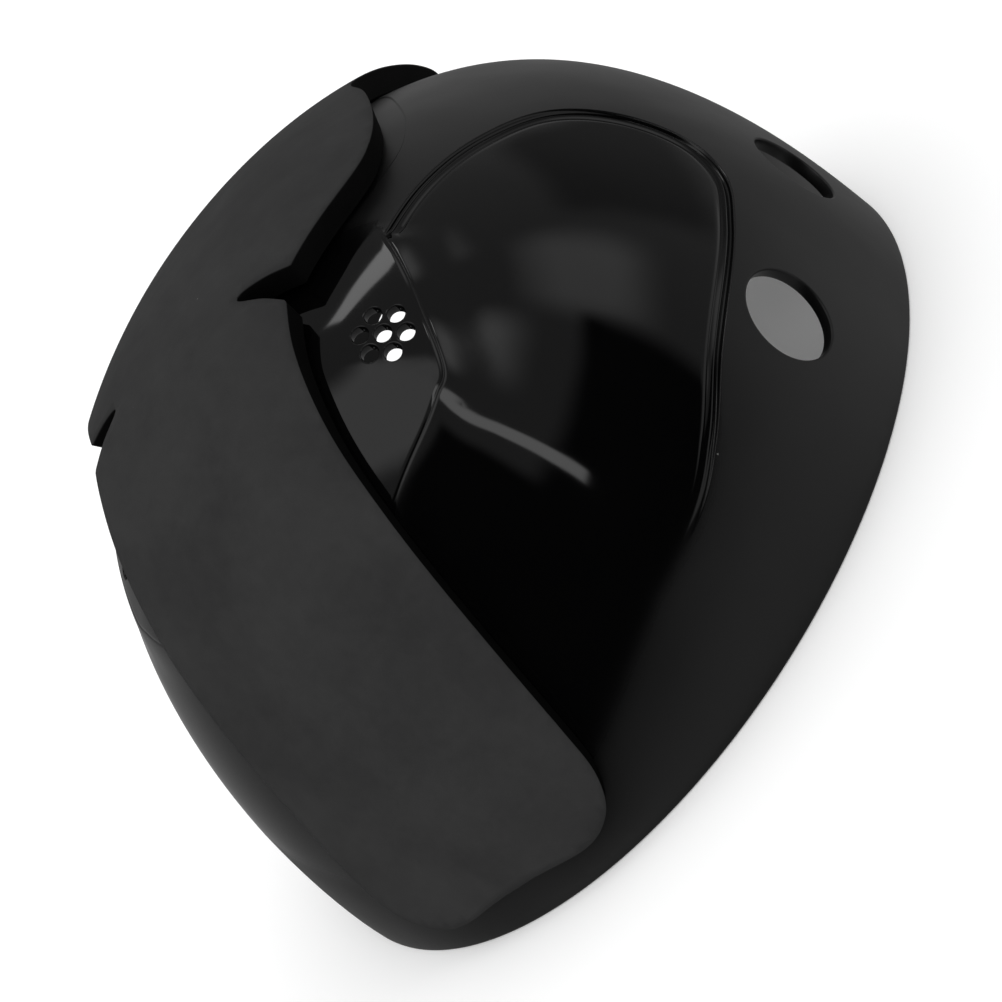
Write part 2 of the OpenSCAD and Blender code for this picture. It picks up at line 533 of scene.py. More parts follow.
class DomeBender:
    """The Geometry Nodes tree that bends a flat chart sheet onto the dome."""

    def __init__(self, dome: Dome) -> None:
        """Builds the tree.

        Args:
            dome: The head shape that sheets are bent onto.
        """
        self.sizes = {
            "Half Width": dome.half_width,
            "Half Length": dome.half_length,
            "Crown Height": dome.crown_height,
            "Crown Lead": dome.crown_lead,
            "Side Power": dome.side_power,
            "Front Power": dome.front_power,
            "Rear Power": dome.rear_power,
        }
        self.tree = bpy.data.node_groups.new("Bend Onto Dome", "GeometryNodeTree")
        self.identifiers: dict[str, str] = {}
        self._add_interface()
        self._add_nodes()

    def _add_interface(self) -> None:
        """Adds the tree's named inputs and its output."""
        interface = self.tree.interface
        interface.new_socket("Geometry", in_out="INPUT", socket_type="NodeSocketGeometry")
        for name in self.sizes:
            socket = interface.new_socket(name, in_out="INPUT", socket_type="NodeSocketFloat")
            self.identifiers[name] = socket.identifier
        finish = interface.new_socket("Finish", in_out="INPUT", socket_type="NodeSocketMaterial")
        self.identifiers["Finish"] = finish.identifier
        interface.new_socket("Geometry", in_out="OUTPUT", socket_type="NodeSocketGeometry")

    def _add_nodes(self) -> None:
        """Adds the nodes: the dome's formula, then Set Position, Realize and Set Material."""
        nodes, links = self.tree.nodes, self.tree.links
        given = nodes.new("NodeGroupInput").outputs
        do = NodeMath(self.tree).do
        chart = nodes.new("ShaderNodeSeparateXYZ")
        links.new(nodes.new("GeometryNodeInputPosition").outputs[0], chart.inputs[0])
        across, along, grow = chart.outputs
        square = do("ADD", do("MULTIPLY", across, across), do("MULTIPLY", along, along))
        degrees = do("SQRT", square)
        drop = do("RADIANS", degrees)
        sin_turn, cos_turn = do("DIVIDE", along, degrees), do("DIVIDE", across, degrees)
        sin_drop, cos_drop = do("SINE", drop), do("ABSOLUTE", do("COSINE", drop))
        faces_front = do("LESS_THAN", along, 0.0)
        end_gap = do("SUBTRACT", given["Front Power"], given["Rear Power"])
        end_power = do("MULTIPLY_ADD", faces_front, end_gap, given["Rear Power"])
        slant = do("MULTIPLY", sin_turn, sin_drop)
        share = do("MULTIPLY", slant, slant)
        side_gap = do("SUBTRACT", end_power, given["Side Power"])
        power = do("MULTIPLY_ADD", side_gap, share, given["Side Power"])
        total = do("ADD", do("POWER", sin_drop, power), do("POWER", cos_drop, power))
        scale = do("POWER", total, do("DIVIDE", -1.0, power))
        reach, rise = do("MULTIPLY", sin_drop, scale), do("MULTIPLY", cos_drop, scale)
        wide = do("MULTIPLY", do("ADD", given["Half Width"], grow), cos_turn)
        long = do("MULTIPLY", do("ADD", given["Half Length"], grow), sin_turn)
        back = do("MULTIPLY", given["Crown Lead"], rise)
        place = nodes.new("ShaderNodeCombineXYZ")
        links.new(do("MULTIPLY", wide, reach), place.inputs[0])
        links.new(do("SUBTRACT", do("MULTIPLY", long, reach), back), place.inputs[1])
        high = do("MULTIPLY", do("ADD", given["Crown Height"], grow), rise)
        links.new(high, place.inputs[2])
        bend = nodes.new("GeometryNodeSetPosition")
        links.new(given["Geometry"], bend.inputs["Geometry"])
        links.new(place.outputs[0], bend.inputs["Position"])
        realize = nodes.new("GeometryNodeRealizeInstances")
        links.new(bend.outputs[0], realize.inputs[0])
        dress = nodes.new("GeometryNodeSetMaterial")
        links.new(realize.outputs[0], dress.inputs["Geometry"])
        links.new(given["Finish"], dress.inputs["Material"])
        links.new(dress.outputs[0], nodes.new("NodeGroupOutput").inputs[0])

    def bend(self, piece: bpy.types.Object, finish: bpy.types.Material) -> None:
        """Bends a flat piece and turns the result into a plain mesh.

        Args:
            piece: The flat sheet's object.
            finish: The material that it gets.
        """
        modifier = piece.modifiers.new("Bend Onto Dome", "NODES")
        modifier.node_group = self.tree
        for name, size in self.sizes.items():
            modifier[self.identifiers[name]] = size
        modifier[self.identifiers["Finish"]] = finish
        evaluated = piece.evaluated_get(bpy.context.evaluated_depsgraph_get())
        bent = bpy.data.meshes.new_from_object(evaluated)
        piece.modifiers.clear()
        piece.data = bent
        bent.name = piece.name


# ---------------------------------------------------------------- finishes


class ShaderSheet:
    """A node tree being written: short ways to add nodes and join them."""

    def __init__(self, tree: bpy.types.NodeTree) -> None:
        """Takes the tree that the nodes go in."""
        self.tree = tree
        self.do = NodeMath(tree).do

    def node(self, kind: str, **inputs: object) -> bpy.types.Node:
        """Adds a node.

        Args:
            kind: The node's type.
            inputs: Its input sockets by name, with _ for a space, as sockets or values.

        Returns:
            The node.
        """
        node = self.tree.nodes.new(kind)
        self.fill(node, **inputs)
        return node

    def fill(self, node: bpy.types.Node, **inputs: object) -> None:
        """Fills a node's inputs, given by name with _ for a space."""
        for name, value in inputs.items():
            feed(self.tree, node.inputs[name.replace("_", " ")], value)

    def mask(self, attribute: str) -> bpy.types.NodeSocket:
        """Reads one of the mesh's own attributes."""
        node = self.node("ShaderNodeAttribute")
        node.attribute_name = attribute
        return node.outputs["Fac"]

    def ramp(self, value: bpy.types.NodeSocket | float, low: float, high: float,
             start: float = 0.0, end: float = 1.0) -> bpy.types.NodeSocket:
        """Eases a value from one range to another.

        Args:
            value: The value.
            low: Where the easing starts.
            high: Where it ends.
            start: The result at low.
            end: The result at high.

        Returns:
            The result's socket.
        """
        node = self.node("ShaderNodeMapRange", Value=value, From_Min=low, From_Max=high,
                         To_Min=start, To_Max=end)
        node.interpolation_type = "SMOOTHSTEP"
        return node.outputs["Result"]

    def mix(self, share: bpy.types.NodeSocket, low: object, high: object,
            blend: str = "MIX") -> bpy.types.NodeSocket:
        """Mixes two colours.

        Args:
            share: How much of the second.
            low: The first colour, as a socket or with alpha.
            high: The second colour, as a socket or with alpha.
            blend: How the second one is laid over the first.

        Returns:
            The mixed colour's socket.
        """
        node = self.tree.nodes.new("ShaderNodeMix")
        node.data_type = "RGBA"
        node.blend_type = blend
        for index, value in ((0, share), (6, low), (7, high)):
            feed(self.tree, node.inputs[index], value)
        return node.outputs[2]


class EffectGroups:
    """Shader node groups that more than one finish uses."""

    def __init__(self) -> None:
        """Builds the groups."""
        self.grain = self._make("Surface Grain", {"Grain Size": 0.3 * MM}, self._fill_grain)
        self.dust = self._make("Dust Specks", {"Spacing": 9 * MM, "Speck Size": 0.02},
                               self._fill_dust)
        self.mottle = self._make("Mottling", {"Patch Size": 20 * MM}, self._fill_mottle)

    @staticmethod
    def _make(name: str, inputs: dict[str, float], fill: object) -> bpy.types.NodeTree:
        """Makes one group with named inputs and one output called Mask.

        Args:
            name: The group's name.
            inputs: The input sockets and what they are when nothing is set.
            fill: A function that adds the nodes.

        Returns:
            The group.
        """
        group = bpy.data.node_groups.new(name, "ShaderNodeTree")
        group.interface.new_socket("Vector", in_out="INPUT", socket_type="NodeSocketVector")
        for label, default in inputs.items():
            socket = group.interface.new_socket(label, in_out="INPUT",
                                                socket_type="NodeSocketFloat")
            socket.default_value = default
        group.interface.new_socket("Mask", in_out="OUTPUT", socket_type="NodeSocketFloat")
        given = group.nodes.new("NodeGroupInput").outputs
        result = group.nodes.new("NodeGroupOutput").inputs[0]
        group.links.new(fill(ShaderSheet(group), given), result)
        return group

    @staticmethod
    def _fill_grain(sheet: ShaderSheet, given: object) -> bpy.types.NodeSocket:
        """Fine even grain with a coarser one under it."""
        fine = sheet.do("DIVIDE", 1.0, given["Grain Size"])
        noise = sheet.node("ShaderNodeTexNoise", Vector=given["Vector"], Scale=fine,
                           Detail=3.0, Roughness=0.65)
        coarse = sheet.node("ShaderNodeTexNoise", Vector=given["Vector"],
                            Scale=sheet.do("MULTIPLY", fine, 0.22), Detail=2.0)
        return sheet.do("MULTIPLY_ADD", coarse.outputs[0], 0.8,
                        sheet.do("MULTIPLY", noise.outputs[0], 0.6))

    @staticmethod
    def _fill_dust(sheet: ShaderSheet, given: object) -> bpy.types.NodeSocket:
        """Small specks, one in some of the cells."""
        cells = sheet.node("ShaderNodeTexVoronoi", Vector=given["Vector"],
                           Scale=sheet.do("DIVIDE", 1.0, given["Spacing"]))
        pick = sheet.node("ShaderNodeSeparateColor", Color=cells.outputs["Color"])
        present = sheet.do("GREATER_THAN", pick.outputs[0], 0.45)
        size = sheet.do("MULTIPLY", given["Speck Size"], pick.outputs[1])
        near = sheet.do("LESS_THAN", cells.outputs["Distance"], size)
        return sheet.do("MULTIPLY", present, near)

    @staticmethod
    def _fill_mottle(sheet: ShaderSheet, given: object) -> bpy.types.NodeSocket:
        """Soft uneven patches."""
        noise = sheet.node("ShaderNodeTexNoise", Vector=given["Vector"],
                           Scale=sheet.do("DIVIDE", 1.0, given["Patch Size"]),
                           Detail=4.0, Roughness=0.55, Distortion=0.4)
        return sheet.ramp(noise.outputs[0], 0.3, 0.7)


@dataclass(frozen=True)
class Finish:
    """What every finish of the insert has."""

    name: str
    groups: EffectGroups

    def start(self) -> tuple[bpy.types.Material, ShaderSheet, bpy.types.Node,
                             bpy.types.NodeSocket]:
        """Makes an empty material.

        Returns:
            The material, its sheet, its Principled node and the Object coordinates.
        """
        material = bpy.data.materials.new(self.name)
        material.use_nodes = True
        sheet = ShaderSheet(material.node_tree)
        principled = material.node_tree.nodes["Principled BSDF"]
        place = sheet.node("ShaderNodeTexCoord").outputs["Object"]
        return material, sheet, principled, place

    @staticmethod
    def effect(sheet: ShaderSheet, group: bpy.types.NodeTree, place: bpy.types.NodeSocket,
               **values: float) -> bpy.types.NodeSocket:
        """Places a shared effect.

        Args:
            sheet: The material's sheet.
            group: The effect's group.
            place: The coordinates that it follows.
            values: Its inputs by name, with _ for a space.

        Returns:
            The effect's mask.
        """
        node = sheet.tree.nodes.new("ShaderNodeGroup")
        node.node_tree = group
        sheet.tree.links.new(place, node.inputs["Vector"])
        for label, value in values.items():
            node.inputs[label.replace("_", " ")].default_value = value
        return node.outputs["Mask"]


@dataclass(frozen=True)
class MouldedPlastic(Finish):
    """Black moulded plastic, polished in the gloss zone and satin outside it."""

    albedo: float = 0.0008
    blue_share: float = 1.08
    satin: float = 0.36
    polish: float = 0.03
    wave_size: float = 26 * MM
    wave_height: float = 0.4 * MM
    smudge_size: float = 17 * MM
    smudge_roughness: float = 0.035
    grain_size: float = 0.5 * MM
    grain_height: float = 0.02 * MM
    grain_strength: float = 0.22
    dust_spacing: float = 11 * MM
    dust_size: float = 0.022
    dust_roughness: float = 0.4
    dust_colour: tuple = (0.05, 0.05, 0.048, 1.0)
    refraction: float = 1.52

    def make(self) -> bpy.types.Material:
        """Builds the material."""
        material, sheet, principled, place = self.start()
        zone = sheet.mask(GLOSS_ZONE)
        smudge = self.effect(sheet, self.groups.mottle, place, Patch_Size=self.smudge_size)
        grain = self.effect(sheet, self.groups.grain, place, Grain_Size=self.grain_size)
        dust = self.effect(sheet, self.groups.dust, place, Spacing=self.dust_spacing,
                           Speck_Size=self.dust_size)
        gloss = sheet.ramp(zone, 0.0, 1.0, self.satin, self.polish)
        rough = sheet.do("ADD", sheet.do("MULTIPLY_ADD", smudge, self.smudge_roughness, gloss),
                         sheet.do("MULTIPLY", dust, self.dust_roughness))
        black = (self.albedo, self.albedo, self.albedo * self.blue_share, 1.0)
        waves = sheet.node("ShaderNodeTexNoise", Vector=place, Scale=1 / self.wave_size,
                           Detail=1.0)
        satin_share = sheet.do("SUBTRACT", 1.0, zone)
        texture = sheet.node("ShaderNodeBump", Strength=self.grain_strength,
                             Distance=self.grain_height,
                             Height=sheet.do("MULTIPLY", grain, satin_share))
        bump = sheet.node("ShaderNodeBump", Strength=1.0, Distance=self.wave_height,
                          Height=waves.outputs[0], Normal=texture.outputs[0])
        sheet.fill(principled, Roughness=rough, Normal=bump.outputs[0], IOR=self.refraction,
                   Base_Color=sheet.mix(dust, black, self.dust_colour))
        return material


@dataclass(frozen=True)
class ClosedCellFoam(Finish):
    """Matte closed-cell foam with a fine skin, with painted shade on its side walls."""

    albedo: float = 0.021
    dark_share: float = 0.62
    light_share: float = 1.36
    blue_share: float = 1.03
    # How dark the side walls are painted: painted shade for the shadow they lie in
    wall_shade_share: float = 0.1
    roughness: float = 0.86
    rubbed_roughness: float = -0.07
    sheen: float = 0.3
    # The side walls' lower specular level, which goes with their painted shade
    wall_sheen: float = 0.05
    patch_size: float = 24 * MM
    rub_size: float = 5 * MM
    grain_size: float = 0.45 * MM
    grain_height: float = 0.06 * MM
    grain_strength: float = 0.45
    dust_spacing: float = 8 * MM
    dust_size: float = 0.022
    dust_colour: tuple = (0.16, 0.16, 0.15, 1.0)

    def make(self) -> bpy.types.Material:
        """Builds the material."""
        material, sheet, principled, place = self.start()
        # The mask of the painted shade on the side walls
        shaded_wall = sheet.mask(WALL_SHADE)
        patches = self.effect(sheet, self.groups.mottle, place, Patch_Size=self.patch_size)
        rub = self.effect(sheet, self.groups.mottle, place, Patch_Size=self.rub_size)
        grain = self.effect(sheet, self.groups.grain, place, Grain_Size=self.grain_size)
        dust = self.effect(sheet, self.groups.dust, place, Spacing=self.dust_spacing,
                           Speck_Size=self.dust_size)
        tone = sheet.do("MULTIPLY_ADD", patches, 0.34, sheet.do("MULTIPLY", rub, 0.12))
        tone = sheet.do("MULTIPLY_ADD", grain, 0.3, tone)
        dark, light = self.albedo * self.dark_share, self.albedo * self.light_share
        skin = sheet.mix(tone, (dark, dark, dark * self.blue_share, 1.0),
                         (light, light, light, 1.0))
        # Painted shade: the side walls are darkened by the mask
        shade = sheet.mix(shaded_wall, skin, (*[self.wall_shade_share] * 3, 1.0), "MULTIPLY")
        bump = sheet.node("ShaderNodeBump", Strength=self.grain_strength,
                          Distance=self.grain_height, Height=grain)
        sheet.fill(
            principled, Base_Color=sheet.mix(dust, shade, self.dust_colour),
            Roughness=sheet.do("MULTIPLY_ADD", patches, self.rubbed_roughness, self.roughness),
            # The specular level falls where the side walls carry painted shade
            Specular_IOR_Level=sheet.ramp(shaded_wall, 0.0, 1.0, self.sheen, self.wall_sheen),
            Normal=bump.outputs[0],
        )
        return material


@dataclass(frozen=True)
class AdhesiveFilm(Finish):
    """Thin pale double-sided film."""

    dark: tuple = (0.62, 0.6, 0.54, 1.0)
    light: tuple = (0.74, 0.73, 0.68, 1.0)
    patch_size: float = 6 * MM
    grain_size: float = 0.8 * MM
    grain_height: float = 0.03 * MM
    grain_strength: float = 0.3
    roughness: float = 0.35
    patch_roughness: float = 0.2

    def make(self) -> bpy.types.Material:
        """Builds the material."""
        material, sheet, principled, place = self.start()
        patches = self.effect(sheet, self.groups.mottle, place, Patch_Size=self.patch_size)
        grain = self.effect(sheet, self.groups.grain, place, Grain_Size=self.grain_size)
        bump = sheet.node("ShaderNodeBump", Strength=self.grain_strength,
                          Distance=self.grain_height, Height=grain)
        sheet.fill(
            principled, Base_Color=sheet.mix(patches, self.dark, self.light),
            Roughness=sheet.do("MULTIPLY_ADD", patches, self.patch_roughness, self.roughness),
            Normal=bump.outputs[0],
        )
        return material


# ---------------------------------------------------------------- the shell


@dataclass
class SidePanel:
    """The sunk egg-shaped panel on each side, with the flat that carries the vents.

    Widths and places are in degrees of the chart.
    """

    depth: float = 0.9 * MM
    wall_width: float = 0.16
    groove_width: float = 0.52
    groove_depth: float = 1.2 * MM
    bead_top: float = 0.62 * MM
    bead_width: float = 0.78
    seam_depth: float = 0.14 * MM
    seam_width: float = 0.14
    fold_width: float = 6.0
    fold_line_depth: float = 0.16 * MM
    fold_line_width: float = 0.14
    blend: float = 1.2
    flat_depth: float = 0.6 * MM
    flat_width: float = 20.0
    outline_spacing: float = 0.24
    # Along the head: where the relief fades in, and where the flat fades at either end
    relief_fade: tuple = (-52.0, -24.0)
    flat_rear_fade: tuple = (-4.0, -14.0)
    flat_front_fade: tuple = (-62.0, -34.0)
    # The gloss ends sharply at the rear and softly at the front
    gloss_start: float = -8.0
    sharp_end: float = 0.3
    soft_end: float = 3.5
    soft_fade: tuple = (-30.0, -46.0)
    rear_edge: tuple = (
        (25, -76), (33, -71), (45.5, -60), (56, -48.5), (61, -38), (63.8, -26),
        (66, -13), (66.4, -3), (65, 6.5), (60, 12.6), (52, 14.3), (44, 12),
        (37.5, 5), (32.6, -2.5), (28.6, -10.5),
    )
    crease: tuple = (
        (28.6, -10.5), (30.6, -15.2), (32.2, -21), (33.2, -28.5), (31.6, -31.6),
        (28.5, -35.5), (22, -41.7),
    )
    under_pad: tuple = ((22, -41.7), (15, -52), (13, -64), (17, -73), (25, -76))
    edge_offsets: tuple = (-0.55, -0.22, -0.08, 0.0, 0.08, 0.16, 0.34, 0.52, 0.6, 0.68, 0.9,
                           1.15, 1.34, 1.46, 1.58, 1.8, 2.2, 2.8)

    def outline(self) -> np.ndarray:
        """The panel's closed outline on the wearer's left, counter-clockwise."""
        parts = [curve_through(part) for part in (self.rear_edge, self.crease, self.under_pad)]
        return respaced(np.vstack([part[:-1] for part in parts]), self.outline_spacing)

    def lip_profile(self, inside: np.ndarray) -> np.ndarray:
        """The section across the rear edge: a groove, a round bead and a fine seam.

        Args:
            inside: How far inside the panel's outline each point is, in degrees.

        Returns:
            How far the skin is sunk at each point, in metres.
        """
        drop = self.groove_depth * smoothstep(0.0, self.wall_width, inside)
        rise = smoothstep(self.groove_width, self.groove_width + self.wall_width, inside)
        start = self.groove_width + self.wall_width
        fall = smoothstep(start, start + self.bead_width, inside)
        seam = np.exp(-((inside - start - self.bead_width) / self.seam_width) ** 2)
        return (drop - (self.groove_depth - self.bead_top) * rise
                + (self.depth - self.bead_top) * fall + self.seam_depth * seam)

    def sink(self, points: np.ndarray) -> tuple[np.ndarray, np.ndarray]:
        """How far the left side's skin is sunk, and how glossy it is.

        Args:
            points: Chart points on the wearer's left.

        Returns:
            The depth in metres and the gloss from 0 to 1, for each point.
        """
        inside = depth_inside(points, self.outline())
        along = points[:, 1]
        crease = curve_through(self.crease)
        reach = distance_to(points, crease, False)
        at_rear = smoothstep(-self.blend, self.blend,
                             reach - distance_to(points, curve_through(self.rear_edge), False))
        fade = smoothstep(*self.relief_fade, along)
        depth = fade * (at_rear * self.lip_profile(inside)
                        + (1 - at_rear) * self.depth * smoothstep(0, self.fold_width, inside))
        line = np.exp(-(inside / self.fold_line_width) ** 2)
        depth = depth + (1 - at_rear) * fade * self.fold_line_depth * line
        position = np.interp(along, crease[::-1, 1], crease[::-1, 0]) - points[:, 0]
        on_flat = (inside < 0) & (position > 0)
        share = np.clip(reach / self.flat_width, 0, 1)
        window = (smoothstep(*self.flat_rear_fade, along)
                  * smoothstep(*self.flat_front_fade, along))
        flat = np.where(on_flat, 4 * share * (1 - share), 0.0) * window
        softness = self.sharp_end + self.soft_end * smoothstep(*self.soft_fade, along)
        gloss = smoothstep(-1.0, 1.0, inside / softness)
        flat_gloss = np.where(position > 0, window, 0.0) * (along < self.gloss_start)
        gloss = np.maximum(gloss, flat_gloss)
        return depth + self.flat_depth * flat, gloss


@dataclass
class PadRecess:
    """The fine engraved step that shows where to lay the outer pad."""

    depth: float = 0.2 * MM
    step_width: float = 0.1
    edge: tuple = (
        (0, 33.5), (7, 33), (13, 31), (18.5, 26), (23.1, 19.6), (26.2, 14.3), (27.8, 10),
        (28.5, 5.8), (28, 1.8), (26, -3.5), (22, -9.5), (17.5, -15),
    )
    edge_offsets: tuple = (-0.08, 0.0, 0.1, 0.2)
    outline_spacing: float = 0.6

    def outline(self) -> np.ndarray:
        """The recess's closed outline, counter-clockwise."""
        half = curve_through(self.edge)
        return respaced(np.vstack([half[::-1], half[1:] * [-1.0, 1.0]]), self.outline_spacing)

    def sink(self, points: np.ndarray) -> np.ndarray:
        """How far the skin is sunk at chart points, in metres."""
        inside = depth_inside(points, self.outline())
        return self.depth * smoothstep(0.0, self.step_width, inside)


@dataclass
class Shell:
    """The one-piece moulding: outer and inner skin, rim, round holes and vents."""

    dome: Dome
    wall: float = WALL
    rim_round: float = 0.6 * MM
    rim_steps: int = 460
    hole_radius: float = 9.25 * MM
    hole_places: tuple = ((-12.5, 74.5), (18.0, 75.0), (58.0, 71.0))
    hole_round: float = 0.4 * MM
    hole_points: int = 72
    vent_radius: float = 1.6 * MM
    vent_pitch: float = 4.1 * MM
    vent_place: tuple = (-40.5, 36.0)
    vent_round: float = 0.22 * MM
    vent_points: int = 28
    vents_round_middle: int = 6
    # A narrow collar of skin round each hole keeps the edge's rounding out of the gloss.
    # Its two rings follow the relief.
    collar: float = 0.14 * MM
    collar_rings: int = 2
    # How far each skin's grid reaches, its spacing, and what it keeps from the edges
    outer_reach: float = 89.0
    outer_grid: float = 1.05
    outer_gap: float = 0.42
    inner_reach: float = 88.0
    inner_grid: float = 2.2
    inner_gap: float = 0.8
    relief_gap: float = 0.06
    panel: SidePanel = field(default_factory=SidePanel)
    recess: PadRecess = field(default_factory=PadRecess)

    def relief(self, points: np.ndarray) -> tuple[np.ndarray, np.ndarray]:
        """The outer skin's relief.

        Args:
            points: Chart points.

        Returns:
            What the skin grows by (below zero where it is sunk), and its gloss.
        """
        folded = np.column_stack([np.abs(points[:, 0]), points[:, 1]])
        sunk, gloss = self.panel.sink(folded)
        return -sunk - self.recess.sink(points), gloss

    def drilled(self) -> list[tuple[np.ndarray, np.ndarray, float, float, int]]:
        """Every hole of the shell.

        Returns:
            For each one its place, its middle on the tangent plane there, its radius,
            its edge rounding and its number of points.
        """
        holes = []
        middle = np.zeros(2)
        turns = np.arange(self.vents_round_middle) * 2 * math.pi / self.vents_round_middle
        around = self.vent_pitch * np.column_stack([np.cos(turns), np.sin(turns)])
        for side in Side:
            for turn, drop in self.hole_places:
                holes.append((self.spot(turn, drop, side), middle, self.hole_radius,
                              self.hole_round, self.hole_points))
            spot = self.spot(*self.vent_place, side)
            for away in (middle, *around):
                holes.append((spot, away, self.vent_radius, self.vent_round,
                              self.vent_points))
        return holes

    @staticmethod
    def spot(turn: float, drop: float, side: Side) -> np.ndarray:
        """The chart place of an angle round the plan and one down from the crown.

        Args:
            turn: Degrees round the plan, on the wearer's left.
            drop: Degrees down from the crown.
            side: The side of the head.

        Returns:
            The place, as (across, along).
        """
        return np.array([side.value * drop * math.cos(math.radians(turn)),
                         drop * math.sin(math.radians(turn))])

    def _rim(self, sheet: FlatSheet) -> tuple[np.ndarray, np.ndarray]:
        """Adds the rounded rim and returns its outermost and its innermost ring."""
        angles = np.linspace(0.0, math.pi / 2, 5)
        profile = [(-self.rim_round * (1 - math.cos(a)), self.rim_round * (1 - math.sin(a)))
                   for a in angles]
        profile += [(-self.wall - grow, height) for grow, height in reversed(profile)]
        rings = [sheet.add(self.dome.level_ring(height, grow, self.rim_steps))
                 for grow, height in profile]
        for upper, lower in zip(rings, rings[1:]):
            sheet.strip(upper, lower)
        return rings[0], rings[-1]

    def _bore(self, sheet: FlatSheet, hole: tuple) -> tuple[np.ndarray, np.ndarray]:
        """Adds one hole's wall and returns its ring on the outer and the inner skin."""
        spot, middle, radius, rounding, count = hole
        sunk, gloss = self.relief(np.array([self.dome.ring(spot, middle, radius, 0.0, 8)
                                            .mean(axis=0)[:2]]))
        skin = float(sunk[0])
        angles = np.linspace(0.0, math.pi / 2, 4)
        edge = [(radius + rounding * (1 - math.sin(a)), skin - rounding * (1 - math.cos(a)))
                for a in angles]
        profile = [(radius + rounding + self.collar, skin)] + edge
        profile += [(r, -self.wall + rounding * (1 - math.cos(a)))
                    for (r, _), a in zip(reversed(edge), reversed(angles))]
        rings = []
        for index, (ring_radius, grow) in enumerate(profile):
            chart = self.dome.ring(spot, middle, ring_radius, grow, count)
            if index < self.collar_rings:
                chart[:, 2] = self.relief(chart[:, :2])[0]
            rings.append(sheet.add(chart, gloss[0]))
        for upper, lower in zip(rings, rings[1:]):
            sheet.bore(upper, lower)
        return rings[0], rings[-1]

    def build(self) -> bpy.types.Object:
        """Builds the shell, still flat."""
        sheet = FlatSheet()
        outer_rim, inner_rim = self._rim(sheet)
        bores = [self._bore(sheet, hole) for hole in self.drilled()]
        flat = np.vstack(sheet.points)[:, :2]
        panel, recess = self.panel.outline(), self.recess.outline()
        edges = [inward(panel, offset) for offset in self.panel.edge_offsets]
        edges += [mirrored(ring) for ring in edges]
        edges += [inward(recess, offset) for offset in self.recess.edge_offsets]
        fixed = np.vstack([flat[outer_rim]] + [flat[outer] for outer, _ in bores])
        fill = kept_apart(
            [(ring, self.relief_gap) for ring in edges]
            + [(spread(self.outer_reach, self.outer_grid), self.outer_gap)],
            fixed,
        )
        fill = fill[is_inside(fill, flat[outer_rim])]
        for hole, (outer, _) in zip(self.drilled(), bores):
            fill = fill[~is_inside(fill, flat[outer])]
        grow, gloss = self.relief(fill)
        indices = sheet.add(np.column_stack([fill, grow]), gloss)
        sheet.skin([outer_rim] + [outer for outer, _ in bores], indices, True)
        inner_fixed = np.vstack([flat[inner_rim]] + [flat[inner] for _, inner in bores])
        inner_spread = spread(self.inner_reach, self.inner_grid)
        inner = kept_apart([(inner_spread, self.inner_gap)], inner_fixed)
        inner = inner[is_inside(inner, flat[inner_rim])]
        for _, ring in bores:
            inner = inner[~is_inside(inner, flat[ring])]
        indices = sheet.add(np.column_stack([inner, np.full(len(inner), -self.wall)]))
        sheet.skin([inner_rim] + [ring for _, ring in bores], indices, False)
        return sheet.build("shell_moulding", GLOSS_ZONE)

    def dress(self, bender: DomeBender, finish: bpy.types.Material) -> bpy.types.Object:
        """Args:
            bender: The tree that bends it onto the dome.
            finish: Its material.

        Returns:
            The finished piece.
        """
        piece = self.build()
        bender.bend(piece, finish)
        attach(piece, BODY)
        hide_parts("shell")
        return piece


# ---------------------------------------------------------------- the pads


